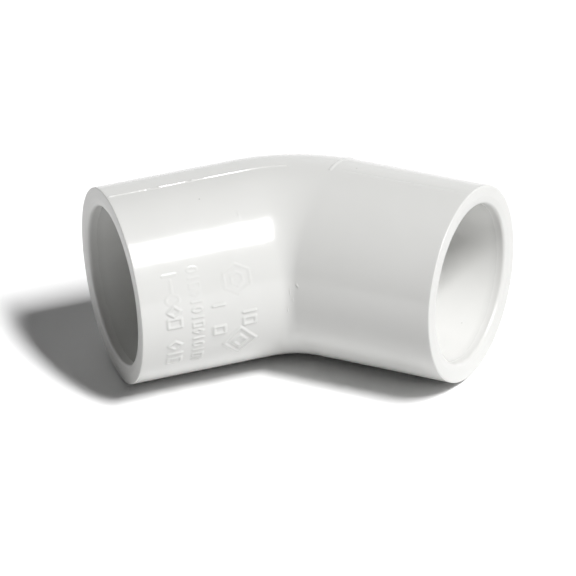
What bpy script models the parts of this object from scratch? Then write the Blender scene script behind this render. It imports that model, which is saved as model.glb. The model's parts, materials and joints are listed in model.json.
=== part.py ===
"""A 45 degree pipe elbow with two plain sockets, moulded in one piece of white rigid PVC.

It takes two 3/4 inch pressure pipes, which are pushed in and cemented. The elbow lies on its
side. Both sockets point outwards and a little towards -Y, and the outer side of the bend faces
+Y. The part's origin is under the middle of its outline, on the surface that it lies on.
"""

import math

import bmesh
import bpy
from mathutils import Vector

MM = 0.001

# Driving dimensions
HALF_TURN = math.radians(45) / 2
BODY_RADIUS = 33.34 / 2 * MM
CENTRE_TO_END = 32.4 * MM
CENTRE_TO_PIPE_STOP = 8.0 * MM
BEND_RADIUS = 19.7 * MM
SOCKET_MOUTH_RADIUS = 26.87 / 2 * MM
SOCKET_BOTTOM_RADIUS = 26.57 / 2 * MM
WATERWAY_RADIUS = 20.93 / 2 * MM
RIM_ROUNDING = 0.2 * MM
LEAD_IN_WIDTH = 0.52 * MM
LEAD_IN_DEPTH = 0.75 * MM

# How finely the curves are cut
SIDES = 72
BEND_STEPS = 12
RIM_STEPS = 4
LEAD_IN_STEPS = 3
SHARP_EDGE = math.radians(35)

UP = Vector((0, 0, 1))
LEFT, RIGHT = -1, 1
PVC_COLOUR = (0.80, 0.80, 0.78, 1)
PVC_ROUGHNESS = 0.32


def clear_scene():
    for old in list(bpy.data.objects):
        bpy.data.objects.remove(old, do_unlink=True)


def white_pvc():
    material = bpy.data.materials.new("white_rigid_pvc")
    material.use_nodes = True
    shader = material.node_tree.nodes["Principled BSDF"]
    shader.inputs["Base Color"].default_value = PVC_COLOUR
    shader.inputs["Roughness"].default_value = PVC_ROUGHNESS
    shader.inputs["Metallic"].default_value = 0
    return material


def out_of_bend(heading):
    """The level direction square to the centre line, pointing to the bend's outer side."""
    return Vector((math.sin(heading), math.cos(heading), 0))


def ring(centre, across, radius, upward_radius=None):
    """Points round a centre, starting on the bend's outer side and going up first."""
    upward_radius = upward_radius or radius
    angles = [math.tau * i / SIDES for i in range(SIDES)]
    return [
        centre + across * radius * math.cos(a) + UP * upward_radius * math.sin(a)
        for a in angles
    ]


def bend_ring(heading):
    """A ring of the outer skin on the bend's arc."""
    across = out_of_bend(heading)
    arc_centre = Vector((0, -BEND_RADIUS / math.cos(HALF_TURN), 0))
    return ring(arc_centre + across * BEND_RADIUS, across, BODY_RADIUS)


def socket_ring(side, along, radius):
    """A ring square to one socket's centre line, at a distance along it from the middle."""
    run = Vector((side * math.cos(HALF_TURN), -math.sin(HALF_TURN), 0))
    return ring(run * along, out_of_bend(side * HALF_TURN), radius)


def mitre_ring():
    """The oval where the two straight halves of the waterway meet."""
    across = out_of_bend(0)
    return ring(Vector(), across, WATERWAY_RADIUS / math.cos(HALF_TURN), WATERWAY_RADIUS)


def quarter_arc(steps):
    return [math.radians(90) * i / steps for i in range(steps + 1)]


def socket_rings(side):
    """One socket's rings: over the rim from outside, down the socket and over the pipe stop."""
    rings = []
    for a in quarter_arc(RIM_STEPS):
        along = CENTRE_TO_END - RIM_ROUNDING * (1 - math.sin(a))
        radius = BODY_RADIUS - RIM_ROUNDING * (1 - math.cos(a))
        rings.append(socket_ring(side, along, radius))
    for a in quarter_arc(LEAD_IN_STEPS):
        along = CENTRE_TO_END - LEAD_IN_DEPTH * (1 - math.cos(a))
        radius = SOCKET_MOUTH_RADIUS + LEAD_IN_WIDTH * (1 - math.sin(a))
        rings.append(socket_ring(side, along, radius))
    rings.append(socket_ring(side, CENTRE_TO_PIPE_STOP, SOCKET_BOTTOM_RADIUS))
    rings.append(socket_ring(side, CENTRE_TO_PIPE_STOP, WATERWAY_RADIUS))
    return rings


def body_rings():
    """All rings in order, out over the skin and back through the waterway, as one closed loop."""
    step = 2 * HALF_TURN / BEND_STEPS
    bend = [bend_ring(-HALF_TURN + step * i) for i in range(BEND_STEPS + 1)]
    return bend + socket_rings(RIGHT) + [mitre_ring()] + socket_rings(LEFT)[::-1]


def skin_over(rings):
    """A closed mesh with a band of faces between each ring and the next, and no end caps."""
    shape = bmesh.new()
    loops = [[shape.verts.new(point) for point in points] for points in rings]
    for loop, following in zip(loops, loops[1:] + loops[:1]):
        for i in range(SIDES):
            j = (i + 1) % SIDES
            shape.faces.new((loop[i], loop[j], following[j], following[i]))
    bmesh.ops.recalc_face_normals(shape, faces=shape.faces)
    mesh = bpy.data.meshes.new("elbow_body")
    shape.to_mesh(mesh)
    shape.free()
    return mesh


def outline_middle():
    """How far +Y the middle of the outline is from where the two centre lines cross."""
    bend_top = BEND_RADIUS * (1 - 1 / math.cos(HALF_TURN)) + BODY_RADIUS
    rim_along = (CENTRE_TO_END - RIM_ROUNDING) * math.sin(HALF_TURN)
    rim_across = (BODY_RADIUS - RIM_ROUNDING) * math.cos(HALF_TURN)
    rim_bottom = -(rim_along + rim_across + RIM_ROUNDING)
    return (bend_top + rim_bottom) / 2


def build_elbow():
    mesh = skin_over(body_rings())
    mesh.materials.append(white_pvc())
    mesh.shade_smooth()
    mesh.set_sharp_from_angle(angle=SHARP_EDGE)
    elbow = bpy.data.objects.new("elbow_body", mesh)
    elbow.location = Vector((0, -outline_middle(), BODY_RADIUS))
    bpy.context.collection.objects.link(elbow)


clear_scene()
build_elbow()
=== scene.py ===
"""Looks of a rigid white PVC pipe elbow with a 45 degree turn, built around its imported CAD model.

The real fitting is one injection moulding, so one piece stands for its one CAD node. Its wall is
laid out flat first, as a blank whose rows run along the pipe and whose columns run round it. A
Geometry Nodes tree then raises the moulded marks and the flash on the blank, sinks the parting
groove into it, and rolls and bends it into the elbow. Lengths are in metres and angles in radians
unless a name says otherwise.
"""

from __future__ import annotations

import json
import logging
import math
from dataclasses import dataclass, field
from enum import Enum
from typing import Any, NamedTuple, Sequence

import bpy
import numpy as np
from mathutils import Matrix, Vector

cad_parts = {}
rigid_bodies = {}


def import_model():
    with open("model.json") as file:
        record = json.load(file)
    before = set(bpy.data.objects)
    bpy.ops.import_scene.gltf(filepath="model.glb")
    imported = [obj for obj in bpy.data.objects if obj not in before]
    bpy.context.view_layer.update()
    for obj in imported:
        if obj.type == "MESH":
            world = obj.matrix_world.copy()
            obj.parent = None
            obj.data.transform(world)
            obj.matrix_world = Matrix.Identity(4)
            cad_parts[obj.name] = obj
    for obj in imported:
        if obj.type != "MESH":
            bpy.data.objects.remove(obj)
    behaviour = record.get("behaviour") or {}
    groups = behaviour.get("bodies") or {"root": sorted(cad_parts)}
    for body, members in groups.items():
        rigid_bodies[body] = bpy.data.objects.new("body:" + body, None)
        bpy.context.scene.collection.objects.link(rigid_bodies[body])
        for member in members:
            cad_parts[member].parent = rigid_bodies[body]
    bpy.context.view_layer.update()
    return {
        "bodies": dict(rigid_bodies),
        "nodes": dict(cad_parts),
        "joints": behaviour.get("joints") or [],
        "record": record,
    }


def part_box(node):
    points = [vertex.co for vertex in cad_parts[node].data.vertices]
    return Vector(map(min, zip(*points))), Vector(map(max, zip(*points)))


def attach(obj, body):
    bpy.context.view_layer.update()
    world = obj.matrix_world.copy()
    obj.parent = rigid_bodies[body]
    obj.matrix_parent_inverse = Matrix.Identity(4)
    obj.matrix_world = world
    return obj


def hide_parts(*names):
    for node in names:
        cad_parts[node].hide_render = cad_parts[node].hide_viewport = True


LOG = logging.getLogger("pipe_elbow")
MM = 0.001
MICRON = 0.000001
FULL_TURN = 2.0 * math.pi
STEP_SLACK = 1e-9

Point = tuple[float, float]
Stroke = list[Point]


# ---------------------------------------------------------------------------------------------
# Small helpers
# ---------------------------------------------------------------------------------------------


def linear_colour(hex_code: str) -> tuple[float, float, float, float]:
    """Turns an sRGB hex colour into the linear colour that a shader socket takes.

    Args:
        hex_code: Six hex digits with a leading #.

    Returns:
        Red, green, blue and an alpha of one, in linear light.
    """
    channels = []
    for start in (1, 3, 5):
        value = int(hex_code[start:start + 2], 16) / 255.0
        low = value / 12.92
        high = ((value + 0.055) / 1.055) ** 2.4
        channels.append(low if value <= 0.04045 else high)
    return channels[0], channels[1], channels[2], 1.0


def add_node(tree: bpy.types.NodeTree, kind: str, inputs: dict[Any, Any] | None = None,
             **settings: Any) -> bpy.types.Node:
    """Adds a node to a tree, sets its properties, and fills or links its inputs.

    Args:
        tree: The shader or geometry tree that gets the node.
        kind: The node's Blender type.
        inputs: Values or output sockets, by the name or number of the input that takes them.
        settings: Properties of the node itself.

    Returns:
        The new node.
    """
    node = tree.nodes.new(kind)
    for name, value in settings.items():
        setattr(node, name, value)
    for key, value in (inputs or {}).items():
        if isinstance(value, bpy.types.NodeSocket):
            tree.links.new(value, node.inputs[key])
        else:
            node.inputs[key].default_value = value
    return node


def graded(start: float, spans: Sequence[tuple[float, float]]) -> list[float]:
    """Spaces places evenly within each span, no further apart than the span's step.

    Args:
        start: Where the first span begins.
        spans: The end and the largest step of each span, in order.

    Returns:
        Every place, the start and all the ends included.
    """
    places = [start]
    for end, step in spans:
        count = max(1, math.ceil(abs(end - places[-1]) / step - STEP_SLACK))
        places += list(np.linspace(places[-1], end, count + 1)[1:])
    return places


def curve_mesh(name: str, strokes: Sequence[Stroke]) -> bpy.types.Object:
    """Makes a guide object of plain edges that follow strokes on the flat blank.

    Args:
        name: The guide's name.
        strokes: Lists of points, each a place along the pipe and a place round it.

    Returns:
        The guide, which isn't linked to the scene.
    """
    points = []
    edges = []
    for stroke in strokes:
        first = len(points)
        points += [(along, across, 0.0) for along, across in stroke]
        edges += [(first + i, first + i + 1) for i in range(len(stroke) - 1)]
    mesh = bpy.data.meshes.new(name)
    mesh.from_pydata(points, edges, [])
    return bpy.data.objects.new(name, mesh)


# ---------------------------------------------------------------------------------------------
# Finishes
# ---------------------------------------------------------------------------------------------


@dataclass(frozen=True)
class RigidPvc:
    """White rigid PVC, injection moulded in polished steel and left as it comes out.

    It gives the eye a dense, very faintly warm white with a clear gloss, edges of reflections
    that waver a little where the skin shrank, and a few specks of dust. The rims are satin. The
    inside is painted a lighter white, painted light that stands in for light in the sockets.
    """

    name: str = "white_rigid_pvc"
    white: str = "#CBCBC9"
    shade: str = "#C6C6C4"
    # painted light: a lighter white for the inside, standing in for light reaching into the sockets
    painted_light_inside: str = "#D7D7D5"
    dust: str = "#8A8A86"
    ior: float = 1.53
    gloss_roughness: float = 0.15
    worn_roughness: float = 0.22
    satin_roughness: float = 0.36
    sink_size: float = 7.0 * MM
    sink_depth: float = 9.0 * MICRON
    skin_size: float = 0.9 * MM
    skin_depth: float = 0.5 * MICRON
    wear_size: float = 2.571 * MM
    flow_size: float = 14.0 * MM
    speck_spacing: float = 5.0 * MM
    speck_size: float = 0.11 * MM
    glow_share: float = 0.08
    glow_depth: float = 0.5 * MM
    glow_tint: tuple[float, float, float] = (1.0, 0.95, 0.9)

    def material(self) -> bpy.types.Material:
        """Builds the moulded skin: flow shades, dust, worn gloss and shrinkage.

        Returns:
            The finished material.
        """
        material = bpy.data.materials.new(self.name)
        material.use_nodes = True
        tree = material.node_tree
        tree.nodes.clear()
        place = add_node(tree, "ShaderNodeTexCoord").outputs["Object"]
        colour = self.colour(tree, place)
        gloss = self.gloss(tree, place)
        normal = self.skin(tree, place)
        plastic = add_node(tree, "ShaderNodeBsdfPrincipled", {
            "Base Color": colour,
            "Roughness": gloss,
            "Normal": normal,
            "IOR": self.ior,
            "Subsurface Weight": self.glow_share,
            "Subsurface Radius": self.glow_tint,
            "Subsurface Scale": self.glow_depth,
        })
        add_node(tree, "ShaderNodeOutputMaterial", {"Surface": plastic.outputs["BSDF"]})
        return material

    def colour(self, tree: bpy.types.NodeTree, place: bpy.types.NodeSocket) -> bpy.types.NodeSocket:
        """Drifts between two whites outside, paints a lighter white inside that stands in for light
        in the sockets, and adds a few specks of dust.

        Args:
            tree: The material's tree.
            place: The position on the piece.

        Returns:
            The colour.
        """
        flow = add_node(tree, "ShaderNodeTexNoise", {
            "Vector": place, "Scale": 1.0 / self.flow_size, "Detail": 3.0, "Distortion": 0.6,
        })
        white = add_node(tree, "ShaderNodeMix", {
            "Factor": flow.outputs["Fac"],
            6: linear_colour(self.white),
            7: linear_colour(self.shade),
        }, data_type="RGBA")
        # Painted light: the inside is mixed towards a lighter white that stands in for light in the
        # sockets.
        inside = add_node(tree, "ShaderNodeAttribute", attribute_name="inside")
        moulded = add_node(tree, "ShaderNodeMix", {
            "Factor": inside.outputs["Fac"],
            6: white.outputs[2],
            7: linear_colour(self.painted_light_inside),
        }, data_type="RGBA")
        cells = add_node(tree, "ShaderNodeTexVoronoi", {
            "Vector": place, "Scale": 1.0 / self.speck_spacing, "Randomness": 1.0,
        }, feature="F1")
        speck_share = self.speck_size / self.speck_spacing
        speck = add_node(tree, "ShaderNodeMapRange", {
            "Value": cells.outputs["Distance"],
            "From Min": 0.5 * speck_share,
            "From Max": 1.3 * speck_share,
            "To Min": 1.0,
            "To Max": 0.0,
        }, interpolation_type="SMOOTHSTEP")
        return add_node(tree, "ShaderNodeMix", {
            "Factor": speck.outputs["Result"],
            6: moulded.outputs[2],
            7: linear_colour(self.dust),
        }, data_type="RGBA").outputs[2]

    def gloss(self, tree: bpy.types.NodeTree, place: bpy.types.NodeSocket) -> bpy.types.NodeSocket:
        """Dulls the gloss in patches where the part has rubbed, and makes the rims satin.

        Args:
            tree: The material's tree.
            place: The position on the piece.

        Returns:
            The roughness.
        """
        wear = add_node(tree, "ShaderNodeTexNoise", {
            "Vector": place, "Scale": 1.0 / self.wear_size, "Detail": 5.0, "Roughness": 0.65,
        })
        polished = add_node(tree, "ShaderNodeMapRange", {
            "Value": wear.outputs["Fac"],
            "From Min": 0.4,
            "From Max": 0.8,
            "To Min": self.gloss_roughness,
            "To Max": self.worn_roughness,
        })
        satin = add_node(tree, "ShaderNodeAttribute", attribute_name="satin")
        return add_node(tree, "ShaderNodeMix", {
            "Factor": satin.outputs["Fac"],
            2: polished.outputs["Result"],
            3: self.satin_roughness,
        }, data_type="FLOAT").outputs[0]

    def skin(self, tree: bpy.types.NodeTree, place: bpy.types.NodeSocket) -> bpy.types.NodeSocket:
        """Bends the reflections a little: broad sinks from shrinkage and a fine skin.

        Args:
            tree: The material's tree.
            place: The position on the piece.

        Returns:
            The normal.
        """
        sinks = add_node(tree, "ShaderNodeTexNoise", {
            "Vector": place, "Scale": 1.0 / self.sink_size, "Detail": 1.0,
        })
        broad = add_node(tree, "ShaderNodeBump", {
            "Height": sinks.outputs["Fac"], "Strength": 1.0, "Distance": self.sink_depth,
        })
        grain = add_node(tree, "ShaderNodeTexNoise", {
            "Vector": place, "Scale": 1.0 / self.skin_size, "Detail": 2.0,
        })
        return add_node(tree, "ShaderNodeBump", {
            "Height": grain.outputs["Fac"],
            "Strength": 1.0,
            "Distance": self.skin_depth,
            "Normal": broad.outputs["Normal"],
        }).outputs["Normal"]


@dataclass(frozen=True)
class PaperBoard:
    """Matt white paper board: it gives the eye an even pale ground with a faint pulp mottle."""

    name: str = "white_paper_board"
    white: str = "#FBFBFB"
    pulp: str = "#F8F8F8"
    pulp_size: float = 3.0 * MM
    roughness: float = 0.85
    shine: float = 0.1

    def material(self) -> bpy.types.Material:
        """Builds the board.

        Returns:
            The finished material.
        """
        material = bpy.data.materials.new(self.name)
        material.use_nodes = True
        tree = material.node_tree
        tree.nodes.clear()
        place = add_node(tree, "ShaderNodeTexCoord").outputs["Object"]
        pulp = add_node(tree, "ShaderNodeTexNoise", {
            "Vector": place, "Scale": 1.0 / self.pulp_size, "Detail": 4.0,
        })
        colour = add_node(tree, "ShaderNodeMix", {
            "Factor": pulp.outputs["Fac"],
            6: linear_colour(self.white),
            7: linear_colour(self.pulp),
        }, data_type="RGBA")
        board = add_node(tree, "ShaderNodeBsdfPrincipled", {
            "Base Color": colour.outputs[2],
            "Roughness": self.roughness,
            "Specular IOR Level": self.shine,
        })
        add_node(tree, "ShaderNodeOutputMaterial", {"Surface": board.outputs["BSDF"]})
        return material


# ---------------------------------------------------------------------------------------------
# What stands out from the moulded skin or is sunk into it
# ---------------------------------------------------------------------------------------------


class MarkShape(Enum):
    """Plain shapes that the mould leaves as raised marks. None of them is a letter."""

    BAR_ALONG = "bar along the pipe"
    BAR_ROUND = "bar round the pipe"
    SQUARE = "square outline"
    DIAMOND = "diamond outline"
    HEXAGON = "hexagon outline"
    RING = "ring"


@dataclass(frozen=True)
class Mark:
    """One raised mark, placed on the blank by its middle."""

    shape: MarkShape
    along: float
    angle_deg: float
    length: float
    width: float

    def strokes(self, body_radius: float) -> list[Stroke]:
        """Draws the mark's outline on the blank.

        Args:
            body_radius: Radius of the outside, which turns the angle into a length round it.

        Returns:
            The strokes, with every outline closed.
        """
        middle = math.radians(self.angle_deg) * body_radius
        half_length = 0.5 * self.length
        half_width = 0.5 * self.width
        if self.shape is MarkShape.BAR_ALONG:
            corners = [(-half_length, 0.0), (half_length, 0.0)]
        elif self.shape is MarkShape.BAR_ROUND:
            corners = [(0.0, -half_width), (0.0, half_width)]
        else:
            sides, start = {
                MarkShape.SQUARE: (4, 0.5),
                MarkShape.DIAMOND: (4, 0.0),
                MarkShape.HEXAGON: (6, 0.5),
                MarkShape.RING: (28, 0.0),
            }[self.shape]
            reach = 1.0 / math.cos(math.pi / sides) if start else 1.0
            corners = []
            for i in range(sides + 1):
                turn = FULL_TURN * (i + start) / sides
                corners.append((half_length * reach * math.cos(turn),
                                half_width * reach * math.sin(turn)))
        return [[(self.along + x, middle + y) for x, y in corners]]


@dataclass
class Relief:
    """One kind of raised or sunk line on the moulded skin, with the section that it has.

    A negative height sinks the line. Raggedness is the share of the height that is lost where the
    line is weakest, and the seed sets where that is.
    """

    name: str
    strokes: list[Stroke]
    height: float
    half_width: float
    flank: float
    raggedness: float = 0.0
    seed: float = 0.0


@dataclass
class MouldedMarks:
    """Plain bars and outlines in rows by the left socket, where a mould carries its marks.

    They spell nothing. A section is a mark's height, the half width of its flat top and the width
    of its flank.
    """

    large_row_along: float = -26.3 * MM
    large_height: float = 2.3 * MM
    fine_row_along: float = -22.3 * MM
    fine_height: float = 1.7 * MM
    first_angle_deg: float = 150.0
    last_angle_deg: float = 210.5
    fine_count: int = 14
    emblem_along: float = -15.0 * MM
    faint_until_deg: float = 166.0
    faint_share: float = 0.30
    large_section_mm: tuple[float, float, float] = (0.17, 0.11, 0.22)
    fine_section_mm: tuple[float, float, float] = (0.15, 0.07, 0.18)

    def large_row(self) -> list[Mark]:
        """Lays out the row next to the mouth: bars and outlines with a gap in the middle.

        Returns:
            The marks, from the top down.
        """
        along = self.large_row_along
        tall = self.large_height
        return [
            Mark(MarkShape.BAR_ALONG, along, 150.6, tall, 0.0),
            Mark(MarkShape.BAR_ROUND, along, 157.3, 0.0, 2.2 * MM),
            Mark(MarkShape.RING, along, 164.8, tall, 1.7 * MM),
            Mark(MarkShape.DIAMOND, along, 172.0, tall, 1.8 * MM),
            Mark(MarkShape.SQUARE, along, 179.2, tall, 1.5 * MM),
            Mark(MarkShape.DIAMOND, along, 194.4, tall, 1.7 * MM),
            Mark(MarkShape.BAR_ALONG, along, 200.8, tall, 0.0),
            Mark(MarkShape.SQUARE, along, 207.0, tall, 1.4 * MM),
        ]

    def fine_row(self) -> list[Mark]:
        """Lays out the second row: small bars and outlines that take turns, evenly spaced.

        Returns:
            The marks, from the top down.
        """
        marks = []
        pattern = (MarkShape.RING, MarkShape.BAR_ALONG, MarkShape.SQUARE, MarkShape.DIAMOND,
                   MarkShape.BAR_ALONG)
        for i in range(self.fine_count):
            share = i / (self.fine_count - 1)
            angle = self.first_angle_deg + share * (self.last_angle_deg - self.first_angle_deg)
            shape = pattern[i % len(pattern)]
            marks.append(Mark(shape, self.fine_row_along, angle, self.fine_height, 0.8 * MM))
        return marks

    def hexagons(self) -> list[Mark]:
        """Places a hexagon with a small one inside it.

        Returns:
            The marks, the large one first.
        """
        along = self.emblem_along
        return [
            Mark(MarkShape.HEXAGON, along, 160.0, 4.4 * MM, 4.3 * MM),
            Mark(MarkShape.HEXAGON, along, 160.0, 1.9 * MM, 1.9 * MM),
        ]

    def diamonds(self) -> list[Mark]:
        """Places a diamond with a small one inside it, and the loose marks near them.

        Returns:
            The marks, the large one first.
        """
        along = self.emblem_along
        return [
            Mark(MarkShape.DIAMOND, along, 200.8, 5.6 * MM, 6.0 * MM),
            Mark(MarkShape.DIAMOND, along, 200.8, 2.4 * MM, 2.6 * MM),
            Mark(MarkShape.BAR_ALONG, -18.6 * MM, 173.3, 1.9 * MM, 0.0),
            Mark(MarkShape.SQUARE, -18.6 * MM, 189.5, 1.9 * MM, 1.5 * MM),
            Mark(MarkShape.BAR_ALONG, -13.4 * MM, 180.6, 2.1 * MM, 0.0),
            Mark(MarkShape.SQUARE, -13.4 * MM, 186.6, 2.0 * MM, 1.3 * MM),
        ]

    def reliefs(self, body_radius: float) -> list[Relief]:
        """Turns the marks into relief, faint near the top and full lower down.

        Args:
            body_radius: Radius of the elbow's outside.

        Returns:
            The reliefs.
        """
        large_marks = self.large_row() + self.hexagons() + self.diamonds()
        kinds = [
            ("marks", large_marks, self.large_section_mm),
            ("fine marks", self.fine_row(), self.fine_section_mm),
        ]
        reliefs = []
        for name, marks, (height, half_width, flank) in kinds:
            for depth, share in (("Full", 1.0), ("Faint", self.faint_share)):
                strokes = [
                    stroke for mark in marks for stroke in mark.strokes(body_radius)
                    if (mark.angle_deg < self.faint_until_deg) == (share < 1.0)
                ]
                reliefs.append(Relief(f"{depth} {name}", strokes, share * height * MM,
                                      half_width * MM, flank * MM))
        return reliefs


@dataclass
class PartingLine:
    """Where the two mould halves meet, along the top and the underside of both arms.

    On top of the left arm and half of the bend they leave a thin ragged flash. On top of the right
    arm and all along the underside they leave only a fine groove. A scar runs from the top towards
    the back near the bend's right end. A few scratches sit in the throat and on the left arm.
    """

    mouth: float
    top_deg: float = 90.0
    scar_along: float = 6.75 * MM

    def reliefs(self, body_radius: float) -> list[Relief]:
        """Lists every line that the mould leaves, apart from the marks.

        Args:
            body_radius: Radius of the elbow's outside.

        Returns:
            The reliefs.
        """

        def at(along_mm: float, angle_deg: float) -> Point:
            """A point on the blank, from a length along the pipe and an angle round it."""
            return along_mm * MM, math.radians(angle_deg) * body_radius

        mouth_mm = self.mouth / MM
        top = self.top_deg
        under = self.top_deg + 180.0
        flash = [[at(-mouth_mm + 0.3, top), at(-24.6, top)],
                 [at(-22.9, top + 0.1), at(-18.0, top + 0.1)],
                 [at(-17.2, top), at(-14.0, top + 0.1), at(-1.0, top)]]
        thick_flash = [[at(-24.6, top - 0.2), at(-22.9, top + 0.2)],
                       [at(-18.0, top), at(-17.0, top)]]
        groove = [
            [at(9.0, top - 1.0), at(mouth_mm - 1.2, top - 2.6)],
            [at(1.2 - mouth_mm, under), at(mouth_mm - 1.2, under)],
        ]
        scar = [[at(self.scar_along / MM, angle) for angle in (91.0, 80.0, 69.0, 58.0)]]
        scratches = [
            [at(1.1, 172.0), at(1.5, 174.5)],
            [at(7.3, 168.5), at(7.9, 169.6)],
            [at(4.1, 177.5), at(4.5, 178.8)],
            [at(-1.8, 184.6), at(-1.3, 185.6)],
            [at(-12.2, 123.3), at(-11.9, 122.7)],
        ]
        return [
            Relief("Flash", flash, 0.26 * MM, 0.05 * MM, 0.10 * MM, raggedness=0.45, seed=3.0),
            Relief("Thick flash", thick_flash, 0.10 * MM, 0.22 * MM, 0.16 * MM,
                   raggedness=0.5, seed=8.0),
            Relief("Groove", groove, -0.05 * MM, 0.05 * MM, 0.25 * MM, raggedness=0.3, seed=5.0),
            Relief("Scar", scar, 0.13 * MM, 0.12 * MM, 0.18 * MM, raggedness=0.3, seed=11.0),
            Relief("Scratches", scratches, 0.10 * MM, 0.08 * MM, 0.14 * MM),
        ]


# ---------------------------------------------------------------------------------------------
# The elbow
# ---------------------------------------------------------------------------------------------


class Wall(Enum):
    """Which wall a row of the blank belongs to. The value is the arm that it runs straight along."""

    LEFT_ARM = -1
    OUTSIDE = 0
    RIGHT_ARM = 1


class Row(NamedTuple):
    """One row of the blank: a circle round the pipe before it is rolled up.

    The mitre is the share of the way that the row slides to the plane where the waterways meet.
    Satin is its share of the satin finish, and inside its share of the lighter white painted on
    the inside as painted light.
    """

    along: float
    radius: float
    wall: Wall
    mitre: float = 0.0
    satin: float = 0.0
    inside: float = 0.0


@dataclass
class ElbowBody:
    """The moulded elbow: a bent outside, two sockets with their pipe stops, and the waterway.

    The arms' axes cross at one point and each leans half the turn away from the X axis. Rows of
    the outside are placed by length along the bent centre line, from the middle of the bend. Rows
    of the inner walls run straight along one arm and are placed from where the axes cross.
    """

    node: str
    radius: float
    reach: float
    half_turn: float
    bend_radius: float
    crossing: Vector
    finish: RigidPvc
    socket_mouth_radius: float = 13.43 * MM
    socket_bottom_radius: float = 13.28 * MM
    waterway_radius: float = 10.47 * MM
    pipe_stop: float = 8.0 * MM
    rim_rounding: float = 0.2 * MM
    witness_radius: float = 14.85 * MM
    dish_radius: float = 13.95 * MM
    dish_depth: float = 0.12 * MM
    lead_in_depth: float = 0.75 * MM
    edge_rounding: float = 0.2 * MM
    witness_width: float = 0.06 * MM
    rounding_step: float = math.radians(13.0)
    bend_easing: float = math.radians(5.7)
    ragged_size: float = 0.8 * MM
    reliefs: list[Relief] = field(default_factory=list)

    @classmethod
    def from_frame(cls, frame: dict[str, Any], finish: RigidPvc) -> ElbowBody:
        """Reads the elbow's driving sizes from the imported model.

        The bend radius follows from the back of the bend, because the bent centre line passes
        inside the crossing of the axes by an amount that grows with it.

        Args:
            finish: The elbow's plastic.

        Returns:
            The elbow, ready to build.
        """
        node = "elbow_body"
        low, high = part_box(node)
        mounts = {mount["name"]: mount for mount in frame["record"]["mounts"]}
        rim = mounts["right_socket_rim"]
        axis = Vector(rim["axis"])
        radius = 0.5 * (high.z - low.z)
        reach = rim["pos_m"][0] / axis.x
        crossing = Vector((0.0, rim["pos_m"][1] - axis.y * reach, low.z + radius))
        half_turn = math.acos(axis.x)
        back_of_bend = high.y - crossing.y
        bend_radius = (radius - back_of_bend) / (1.0 / math.cos(half_turn) - 1.0)
        elbow = cls(node, radius, reach, half_turn, bend_radius, crossing, finish)
        elbow.reliefs = MouldedMarks().reliefs(radius) + PartingLine(elbow.mouth).reliefs(radius)
        return elbow

    @property
    def tangent(self) -> float:
        """Length from the crossing of the axes to where the bend of the outside starts."""
        return self.bend_radius * math.tan(self.half_turn)

    @property
    def mouth(self) -> float:
        """Length along the bent centre line from the middle of the bend to a rim."""
        return self.reach - self.tangent + self.bend_radius * self.half_turn

    def outside_rows(self) -> list[Row]:
        """Rows of the outside, close together where marks, scar and scratches stand.

        Returns:
            The rows, from the left rim to the right one.
        """
        end = self.mouth - self.rim_rounding
        places = graded(-end, [
            (-28.0 * MM, 0.25 * MM),
            (-20.7 * MM, 0.16 * MM),
            (-19.9 * MM, 0.4 * MM),
            (-11.6 * MM, 0.16 * MM),
            (-2.4 * MM, 0.5 * MM),
            (6.2 * MM, 0.28 * MM),
            (8.2 * MM, 0.11 * MM),
            (end - 0.6 * MM, 1.1 * MM),
            (end, 0.3 * MM),
        ])
        return [Row(place, self.radius, Wall.OUTSIDE) for place in places]

    def rim_rows(self, wall: Wall) -> list[Row]:
        """Rows from the outside's end over the rim's flat land, its dish and the lead-in.

        Args:
            wall: The arm.

        Returns:
            The rows, outside first.
        """
        rounding = self.rim_rounding
        land_outer_radius = self.radius - rounding
        rows = []
        for turn in graded(0.0, [(0.5 * math.pi, self.rounding_step)])[1:]:
            rows.append((self.reach - rounding * (1.0 - math.sin(turn)),
                         land_outer_radius + rounding * math.cos(turn)))
        for radius in graded(land_outer_radius, [
            (self.witness_radius + self.witness_width, 0.5 * MM),
            (self.witness_radius, self.witness_width),
        ])[1:]:
            rows.append((self.reach, radius))
        for share in (0.08, 0.5, 1.0):
            radius = self.witness_radius + share * (self.dish_radius - self.witness_radius)
            rows.append((self.reach - share * self.dish_depth, radius))
        lip = self.dish_radius - self.socket_mouth_radius
        for turn in graded(0.0, [(0.5 * math.pi, self.rounding_step)])[1:]:
            fall = self.dish_depth + (self.lead_in_depth - self.dish_depth) * (1.0 - math.cos(turn))
            rows.append((self.reach - fall, self.dish_radius - lip * math.sin(turn)))
        return [Row(along, radius, wall, satin=1.0) for along, radius in rows]

    def bore_rows(self, wall: Wall) -> list[Row]:
        """Rows down the tapered socket, over the pipe stop and along the waterway to the mitre.

        Args:
            wall: The arm.

        Returns:
            The rows, mouth first. The last one lies on the mitre plane, where the arms meet.
        """
        mouth = self.reach - self.lead_in_depth
        bottom = self.pipe_stop
        taper = (self.socket_mouth_radius - self.socket_bottom_radius) / (mouth - bottom)
        fine = self.edge_rounding
        rows = []
        for along in graded(mouth, [(bottom + fine, 2.2 * MM), (bottom, fine)])[1:]:
            rows.append((along, self.socket_bottom_radius + taper * (along - bottom), 0.0))
        for radius in graded(self.socket_bottom_radius, [
            (self.socket_bottom_radius - fine, fine),
            (self.waterway_radius + fine, 1.2 * MM),
        ])[1:]:
            rows.append((bottom, radius, 0.0))
        rows.append((bottom - 0.3 * fine, self.waterway_radius + 0.3 * fine, 0.0))
        rows.append((bottom - fine, self.waterway_radius, 0.0))
        for share in (0.3, 0.65, 1.0):
            rows.append((bottom - fine, self.waterway_radius, share))
        # inside=1.0: these rows get the lighter white painted inside as painted light
        return [Row(along, radius, wall, mitre, inside=1.0) for along, radius, mitre in rows]

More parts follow.
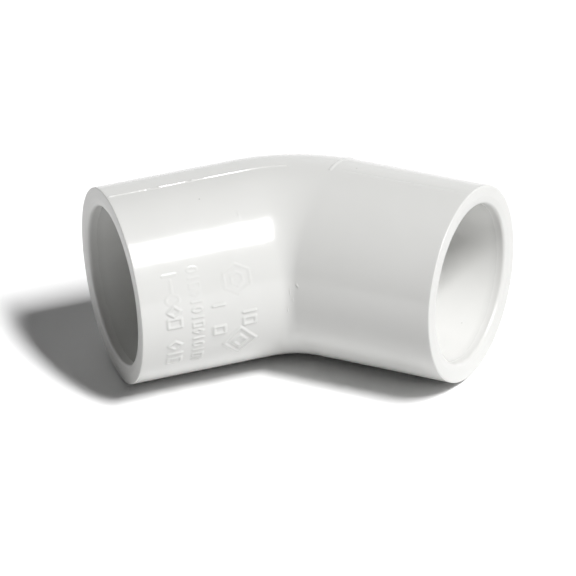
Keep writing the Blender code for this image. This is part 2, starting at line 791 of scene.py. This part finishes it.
    def rows(self) -> list[Row]:
        """Joins every row of the blank in one closed loop round the section of the wall.

        Returns:
            The rows. Both arms end on the mitre plane, so the left arm's last row is left out.
        """
        right = self.rim_rows(Wall.RIGHT_ARM) + self.bore_rows(Wall.RIGHT_ARM)
        left = self.rim_rows(Wall.LEFT_ARM) + self.bore_rows(Wall.LEFT_ARM)
        return self.outside_rows() + right + left[-2::-1]

    def columns(self) -> list[float]:
        """Angles round the pipe, close together under the marks and at the parting line.

        Returns:
            The angles, from the outer side of the bend over the top to the throat and on round.
        """
        degrees = graded(0.0, [
            (60.0, 2.4),
            (87.0, 1.5),
            (92.0, 0.33),
            (142.0, 1.9),
            (214.0, 0.56),
            (268.5, 2.2),
            (271.5, 0.5),
            (360.0, 2.4),
        ])
        return [math.radians(angle) for angle in degrees[:-1]]

    def blank(self) -> bpy.types.Object:
        """Lays the wall out flat: X along the pipe, Y round it, Z its height over the outside.

        X is negative on the left arm's inner walls too, so a line near one rim lifts that rim alone.
        Each point carries its wall, its mitre, its share of the satin finish and its share of the
        lighter white painted inside as painted light.

        Returns:
            The blank, a closed grid whose rows and columns both wrap round.
        """
        rows = self.rows()
        angles = self.columns()
        places = [
            (row.along * (-1.0 if row.wall is Wall.LEFT_ARM else 1.0),
             self.radius * angle, row.radius - self.radius)
            for row in rows for angle in angles
        ]
        wide = len(angles)
        tall = len(rows)
        faces = []
        for i in range(tall):
            below = i * wide
            above = (i + 1) % tall * wide
            for j in range(wide):
                k = (j + 1) % wide
                faces.append((below + j, above + j, above + k, below + k))
        mesh = bpy.data.meshes.new("elbow_blank")
        mesh.from_pydata(places, [], faces)
        per_point = {
            "wall": [float(row.wall.value) for row in rows for _ in angles],
            "mitre": [row.mitre for row in rows for _ in angles],
            "satin": [row.satin for row in rows for _ in angles],
            "inside": [row.inside for row in rows for _ in angles],
        }
        for name, values in per_point.items():
            layer = mesh.attributes.new(name, "FLOAT", "POINT")
            layer.data.foreach_set("value", values)
        blank = bpy.data.objects.new("elbow_blank", mesh)
        bpy.context.scene.collection.objects.link(blank)
        return blank

    def relief_height(self, tree: bpy.types.NodeTree, sizes: bpy.types.Node) -> bpy.types.NodeSocket:
        """Adds up how far every relief lifts a point of the blank.

        Args:
            tree: The bending tree.
            sizes: The tree's group input.

        Returns:
            The total height.
        """
        total: Any = 0.0
        place = add_node(tree, "GeometryNodeInputPosition").outputs["Position"]
        for relief in self.reliefs:
            name = relief.name
            guide = add_node(tree, "GeometryNodeObjectInfo",
                             {"Object": sizes.outputs[f"{name} lines"]})
            gap = add_node(tree, "GeometryNodeProximity",
                           {"Geometry": guide.outputs["Geometry"]}, target_element="EDGES")
            foot = add_node(tree, "ShaderNodeMath", {
                0: sizes.outputs[f"{name} half width"], 1: sizes.outputs[f"{name} flank"],
            }, operation="ADD")
            lift = add_node(tree, "ShaderNodeMapRange", {
                "Value": gap.outputs["Distance"],
                "From Min": sizes.outputs[f"{name} half width"],
                "From Max": foot.outputs[0],
                "To Min": sizes.outputs[f"{name} height"],
                "To Max": 0.0,
            }, interpolation_type="SMOOTHSTEP")
            noise = add_node(tree, "ShaderNodeTexNoise", {
                "Vector": place, "W": relief.seed, "Scale": 1.0 / self.ragged_size, "Detail": 2.0,
            }, noise_dimensions="4D")
            loss = add_node(tree, "ShaderNodeMapRange", {
                "Value": noise.outputs[0],
                "From Min": 0.35,
                "From Max": 0.65,
                "To Min": 0.0,
                "To Max": sizes.outputs[f"{name} raggedness"],
            })
            kept = add_node(tree, "ShaderNodeMath", {0: 1.0, 1: loss.outputs["Result"]},
                            operation="SUBTRACT")
            total = add_node(tree, "ShaderNodeMath", {
                0: lift.outputs["Result"], 1: kept.outputs[0], 2: total,
            }, operation="MULTIPLY_ADD").outputs[0]
        return total

    def bent_place(self, tree: bpy.types.NodeTree, sizes: bpy.types.Node) -> bpy.types.NodeSocket:
        """Works out where a point of the blank goes when it is rolled up and bent.

        The heading is how far the centre line has turned at the point. The outside follows the
        bend, so its heading grows with the length along it, and eases in and out where the bend
        meets the straight arms. A straight wall has its arm's full heading, and its X without the
        sign is its length from the crossing. Both then lie on a line that touches the bend's
        circle, rolled round by the angle.

        Args:
            tree: The bending tree.
            sizes: The tree's group input.

        Returns:
            The place of the point on the elbow.
        """
        body_radius = sizes.outputs["Body radius"]
        bend_radius = sizes.outputs["Bend radius"]
        half_turn = sizes.outputs["Half turn"]
        flat = add_node(tree, "ShaderNodeSeparateXYZ", {
            0: add_node(tree, "GeometryNodeInputPosition").outputs["Position"],
        })
        wall = add_node(tree, "GeometryNodeInputNamedAttribute", {"Name": "wall"},
                        data_type="FLOAT").outputs["Attribute"]
        mitre = add_node(tree, "GeometryNodeInputNamedAttribute", {"Name": "mitre"},
                         data_type="FLOAT").outputs["Attribute"]
        angle = add_node(tree, "ShaderNodeMath", {0: flat.outputs["Y"], 1: body_radius},
                         operation="DIVIDE").outputs[0]
        outward = add_node(tree, "ShaderNodeMath", {0: angle}, operation="COSINE").outputs[0]
        upward = add_node(tree, "ShaderNodeMath", {0: angle}, operation="SINE").outputs[0]
        skin = add_node(tree, "ShaderNodeMath", {0: flat.outputs["Z"], 1: body_radius},
                        operation="ADD").outputs[0]
        radius = add_node(tree, "ShaderNodeMath", {0: skin, 1: self.relief_height(tree, sizes)},
                          operation="ADD").outputs[0]
        outward = add_node(tree, "ShaderNodeMath", {0: outward, 1: radius},
                           operation="MULTIPLY").outputs[0]
        upward = add_node(tree, "ShaderNodeMath", {0: upward, 1: radius},
                          operation="MULTIPLY").outputs[0]

        # The outside: the heading grows along the bend, and what is left over runs straight on.
        least = add_node(tree, "ShaderNodeMath", {0: half_turn, 1: -1.0}, operation="MULTIPLY")
        growing = add_node(tree, "ShaderNodeMath", {0: flat.outputs["X"], 1: bend_radius},
                           operation="DIVIDE")
        not_less = add_node(tree, "ShaderNodeMath", {
            0: growing.outputs[0], 1: least.outputs[0], 2: sizes.outputs["Bend easing"],
        }, operation="SMOOTH_MAX")
        followed = add_node(tree, "ShaderNodeMath", {
            0: not_less.outputs[0], 1: half_turn, 2: sizes.outputs["Bend easing"],
        }, operation="SMOOTH_MIN")
        round_bend = add_node(tree, "ShaderNodeMath", {
            0: followed.outputs[0], 1: bend_radius,
        }, operation="MULTIPLY")
        outside_run = add_node(tree, "ShaderNodeMath", {
            0: flat.outputs["X"], 1: round_bend.outputs[0],
        }, operation="SUBTRACT")

        # A straight wall: its length from the crossing slides to the mitre plane where it has to.
        slope = add_node(tree, "ShaderNodeMath", {0: half_turn}, operation="TANGENT")
        plane = add_node(tree, "ShaderNodeMath", {0: outward, 1: slope.outputs[0]},
                         operation="MULTIPLY")
        out = add_node(tree, "ShaderNodeMath", {0: flat.outputs["X"]}, operation="ABSOLUTE")
        whole = add_node(tree, "ShaderNodeMath", {0: out.outputs[0], 1: plane.outputs[0]},
                         operation="ADD")
        length = add_node(tree, "ShaderNodeMath", {0: whole.outputs[0], 1: mitre},
                          operation="MULTIPLY")
        from_crossing = add_node(tree, "ShaderNodeMath", {
            0: out.outputs[0], 1: length.outputs[0],
        }, operation="SUBTRACT")
        tangent = add_node(tree, "ShaderNodeMath", {0: bend_radius, 1: slope.outputs[0]},
                           operation="MULTIPLY")
        past = add_node(tree, "ShaderNodeMath", {
            0: from_crossing.outputs[0], 1: tangent.outputs[0],
        }, operation="SUBTRACT")
        straight_run = add_node(tree, "ShaderNodeMath", {0: past.outputs[0], 1: wall},
                                operation="MULTIPLY")
        straight_heading = add_node(tree, "ShaderNodeMath", {0: half_turn, 1: wall},
                                    operation="MULTIPLY")

        straight = add_node(tree, "ShaderNodeMath", {0: wall}, operation="ABSOLUTE")
        heading = add_node(tree, "GeometryNodeSwitch", {
            "Switch": straight.outputs[0],
            "False": followed.outputs[0],
            "True": straight_heading.outputs[0],
        }, input_type="FLOAT").outputs[0]
        run = add_node(tree, "GeometryNodeSwitch", {
            "Switch": straight.outputs[0],
            "False": outside_run.outputs[0],
            "True": straight_run.outputs[0],
        }, input_type="FLOAT").outputs[0]
        lever = add_node(tree, "ShaderNodeMath", {0: outward, 1: bend_radius}, operation="ADD")
        arm = add_node(tree, "ShaderNodeCombineXYZ", {
            "X": run, "Y": lever.outputs[0], "Z": upward,
        })
        back = add_node(tree, "ShaderNodeMath", {0: heading, 1: -1.0}, operation="MULTIPLY")
        turned = add_node(tree, "ShaderNodeVectorRotate", {
            "Vector": arm.outputs[0], "Angle": back.outputs[0],
        }, rotation_type="Z_AXIS")
        return add_node(tree, "ShaderNodeVectorMath", {
            0: turned.outputs[0], 1: sizes.outputs["Bend middle"],
        }, operation="ADD").outputs[0]

    def inputs(self, guides: dict[str, bpy.types.Object]) -> dict[str, tuple[str, Any]]:
        """Lists the bending tree's named inputs.

        Args:
            guides: The relief guides, by the relief's name.

        Returns:
            Socket type and value, by the input's name.
        """
        bend_middle = self.crossing - Vector((0.0, self.bend_radius / math.cos(self.half_turn), 0.0))
        values = {
            "Body radius": ("NodeSocketFloat", self.radius),
            "Bend radius": ("NodeSocketFloat", self.bend_radius),
            "Half turn": ("NodeSocketFloat", self.half_turn),
            "Bend easing": ("NodeSocketFloat", self.bend_easing),
            "Bend middle": ("NodeSocketVector", tuple(bend_middle)),
            "Plastic": ("NodeSocketMaterial", self.finish.material()),
        }
        for relief in self.reliefs:
            values[f"{relief.name} lines"] = ("NodeSocketObject", guides[relief.name])
            values[f"{relief.name} height"] = ("NodeSocketFloat", relief.height)
            values[f"{relief.name} half width"] = ("NodeSocketFloat", relief.half_width)
            values[f"{relief.name} flank"] = ("NodeSocketFloat", relief.flank)
            values[f"{relief.name} raggedness"] = ("NodeSocketFloat", relief.raggedness)
        return values

    def bending_tree(self, inputs: dict[str, tuple[str, Any]]) -> bpy.types.NodeTree:
        """Builds the Geometry Nodes tree that turns the blank into the elbow.

        Args:
            inputs: Socket type and value, by the input's name.

        Returns:
            The tree.
        """
        tree = bpy.data.node_groups.new("roll_and_bend", "GeometryNodeTree")
        tree.interface.new_socket("Elbow", in_out="OUTPUT", socket_type="NodeSocketGeometry")
        tree.interface.new_socket("Blank", in_out="INPUT", socket_type="NodeSocketGeometry")
        for name, (kind, _) in inputs.items():
            tree.interface.new_socket(name, in_out="INPUT", socket_type=kind)
        sizes = add_node(tree, "NodeGroupInput")
        bent = add_node(tree, "GeometryNodeSetPosition", {
            "Geometry": sizes.outputs["Blank"], "Position": self.bent_place(tree, sizes),
        })
        smooth = add_node(tree, "GeometryNodeSetShadeSmooth", {
            "Geometry": bent.outputs[0], "Shade Smooth": True,
        })
        real = add_node(tree, "GeometryNodeRealizeInstances", {"Geometry": smooth.outputs[0]})
        dressed = add_node(tree, "GeometryNodeSetMaterial", {
            "Geometry": real.outputs[0], "Material": sizes.outputs["Plastic"],
        })
        add_node(tree, "NodeGroupOutput", {0: dressed.outputs[0]})
        return tree

    def build(self) -> bpy.types.Object:
        """Makes the finished elbow as one plain mesh.

        Returns:
            The elbow, riding on the frame in place of its CAD node.
        """
        blank = self.blank()
        guides = {}
        for relief in self.reliefs:
            guides[relief.name] = curve_mesh(f"{relief.name.lower()} guide", relief.strokes)
        inputs = self.inputs(guides)
        tree = self.bending_tree(inputs)
        modifier = blank.modifiers.new("roll_and_bend", "NODES")
        modifier.node_group = tree
        identifiers = {
            item.name: item.identifier for item in tree.interface.items_tree
            if item.item_type == "SOCKET" and item.in_out == "INPUT"
        }
        for name, (_, value) in inputs.items():
            modifier[identifiers[name]] = value
        graph = bpy.context.evaluated_depsgraph_get()
        mesh = bpy.data.meshes.new_from_object(blank.evaluated_get(graph))
        mesh.name = "pvc_elbow"
        elbow = bpy.data.objects.new("pvc_elbow", mesh)
        bpy.context.scene.collection.objects.link(elbow)
        bpy.data.objects.remove(blank)
        for guide in guides.values():
            bpy.data.objects.remove(guide)
        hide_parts(self.node)
        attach(elbow, "root")
        return elbow


# ---------------------------------------------------------------------------------------------
# Floor, light and view
# ---------------------------------------------------------------------------------------------


@dataclass
class Floor:
    """A wide pale board that the elbow lies on."""

    finish: PaperBoard
    height: float
    side: float = 4.0

    def build(self) -> bpy.types.Object:
        """Makes the board as a single face.

        Returns:
            The board.
        """
        half = 0.5 * self.side
        corners = [(-half, -half), (half, -half), (half, half), (-half, half)]
        mesh = bpy.data.meshes.new("floor")
        mesh.from_pydata([(x, y, self.height) for x, y in corners], [], [(0, 1, 2, 3)])
        mesh.materials.append(self.finish.material())
        floor = bpy.data.objects.new("floor", mesh)
        bpy.context.scene.collection.objects.link(floor)
        return floor


@dataclass
class Softbox:
    """A flat rectangular light that faces the elbow.

    Its place is a compass angle round the elbow, from the front towards the right, and a height
    angle over the floor. Its lean turns it in its own plane. Its daylight is about how bright a
    white card beside the elbow looks when it faces the light.
    """

    name: str
    compass_deg: float
    height_deg: float
    distance: float
    width: float
    tall: float
    lean_deg: float
    daylight: float

    def build(self, target: Vector) -> bpy.types.Object:
        """Places the light and turns it to the elbow.

        Args:
            target: The point that the light faces.

        Returns:
            The light.
        """
        compass = math.radians(self.compass_deg)
        height = math.radians(self.height_deg)
        direction = Vector((
            math.sin(compass) * math.cos(height),
            -math.cos(compass) * math.cos(height),
            math.sin(height),
        ))
        lamp = bpy.data.lights.new(self.name, "AREA")
        lamp.shape = "RECTANGLE"
        lamp.size = self.width
        lamp.size_y = self.tall
        lamp.energy = self.daylight * math.pi ** 2 * self.distance ** 2
        light = bpy.data.objects.new(self.name, lamp)
        lean = Matrix.Rotation(math.radians(self.lean_deg), 4, "Z")
        aim = direction.to_track_quat("Z", "Y").to_matrix().to_4x4()
        light.matrix_world = Matrix.Translation(target + direction * self.distance) @ aim @ lean
        bpy.context.scene.collection.objects.link(light)
        return light


@dataclass
class Studio:
    """A narrow key softbox over the right front, a weak wide one there, and a lit backdrop.

    The backdrop stands behind the elbow, turned a little to the left. It shines low down and fades
    out towards its sides and overhead, and the rest of the room is dark.
    """

    backdrop_glow: float = 1.1
    backdrop_fades_out: float = -0.1
    backdrop_is_full: float = 0.6
    backdrop_low: float = 0.1
    overhead_share: float = 0.1
    backdrop_turn_deg: float = 15.0
    backdrop_top_deg: float = 50.0
    room_glow: float = 0.02

    def softboxes(self) -> list[Softbox]:
        """Lists the lights.

        Returns:
            The key light, then the weak one that fills the front.
        """
        key = Softbox(name="key_softbox", compass_deg=53.2, height_deg=54.8, distance=3.2,
                      width=0.37, tall=1.03, lean_deg=-28.1, daylight=1.44)
        front = Softbox(name="front_softbox", compass_deg=30.0, height_deg=50.0, distance=3.2,
                        width=2.4, tall=2.4, lean_deg=0.0, daylight=0.045)
        return [key, front]

    def backdrop(self) -> bpy.types.World:
        """Makes the surroundings: bright low down behind the elbow, dim above, dark in front.

        Returns:
            The world.
        """
        world = bpy.data.worlds.new("backdrop")
        world.use_nodes = True
        tree = world.node_tree
        tree.nodes.clear()
        sight = add_node(tree, "ShaderNodeTexCoord").outputs["Generated"]
        direction = add_node(tree, "ShaderNodeSeparateXYZ", {0: sight})
        turn = math.radians(self.backdrop_turn_deg)
        away = add_node(tree, "ShaderNodeVectorMath", {
            0: sight, 1: (-math.sin(turn), math.cos(turn), 0.0),
        }, operation="DOT_PRODUCT")
        behind = add_node(tree, "ShaderNodeMapRange", {
            "Value": away.outputs["Value"],
            "From Min": self.backdrop_fades_out,
            "From Max": self.backdrop_is_full,
            "To Min": self.room_glow,
            "To Max": self.backdrop_glow,
        }, interpolation_type="SMOOTHSTEP")
        low = add_node(tree, "ShaderNodeMapRange", {
            "Value": direction.outputs["Z"],
            "From Min": self.backdrop_low,
            "From Max": math.sin(math.radians(self.backdrop_top_deg)),
            "To Min": 1.0,
            "To Max": self.overhead_share,
        }, interpolation_type="SMOOTHSTEP")
        glow = add_node(tree, "ShaderNodeMath", {
            0: behind.outputs["Result"], 1: low.outputs["Result"],
        }, operation="MULTIPLY")
        sky = add_node(tree, "ShaderNodeBackground", {"Strength": glow.outputs[0]})
        add_node(tree, "ShaderNodeOutputWorld", {"Surface": sky.outputs[0]})
        return world

    def build(self, target: Vector) -> None:
        """Sets up the lights, the backdrop and an untoned display.

        Args:
            target: The point that the lights face.
        """
        for softbox in self.softboxes():
            softbox.build(target)
        scene = bpy.context.scene
        scene.world = self.backdrop()
        scene.view_settings.view_transform = "Standard"


@dataclass
class Viewpoint:
    """A long lens that looks down on the elbow's throat, level but for a slight roll.

    Image widths is the focal length as a multiple of the image's width.
    """

    compass: float = math.radians(5.0897)
    height: float = math.radians(29.1325)
    roll: float = math.radians(-2.7434)
    distance: float = 1.10474
    image_widths: float = 11.58138
    sensor_width_mm: float = 36.0
    aim_from_crossing: Vector = field(
        default_factory=lambda: Vector((-0.512 * MM, -13.389 * MM, 0.0)))

    def build(self, crossing: Vector) -> bpy.types.Object:
        """Places the camera and makes it the scene's own.

        Args:
            crossing: Where the elbow's axes cross.

        Returns:
            The camera.
        """
        back = Vector((
            math.sin(self.compass) * math.cos(self.height),
            -math.cos(self.compass) * math.cos(self.height),
            math.sin(self.height),
        ))
        level = (-back).cross(Vector((0.0, 0.0, 1.0))).normalized()
        above = level.cross(-back)
        right = math.cos(self.roll) * level + math.sin(self.roll) * above
        up = math.cos(self.roll) * above - math.sin(self.roll) * level
        data = bpy.data.cameras.new("camera")
        data.sensor_width = self.sensor_width_mm
        data.lens = self.image_widths * self.sensor_width_mm
        camera = bpy.data.objects.new("camera", data)
        turn = Matrix((right, up, back)).transposed().to_4x4()
        place = crossing + self.aim_from_crossing + back * self.distance
        camera.matrix_world = Matrix.Translation(place) @ turn
        bpy.context.scene.collection.objects.link(camera)
        bpy.context.scene.camera = camera
        return camera


def main() -> None:
    """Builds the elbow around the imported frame, then the floor, the light and the camera."""
    logging.basicConfig(level=logging.INFO, format="%(name)s: %(message)s")
    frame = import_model()
    elbow = ElbowBody.from_frame(frame, RigidPvc())
    Viewpoint().build(elbow.crossing)
    piece = elbow.build()
    LOG.info("%s: %d points, %d faces", piece.name, len(piece.data.vertices),
             len(piece.data.polygons))
    low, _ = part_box(elbow.node)
    floor = Floor(PaperBoard(), low.z).build()
    LOG.info("%s: staged at %.4f m", floor.name, low.z)
    studio = Studio()
    studio.build(elbow.crossing)
    LOG.info("lights: %s", ", ".join(softbox.name for softbox in studio.softboxes()))


if __name__ == "__main__":
    main()
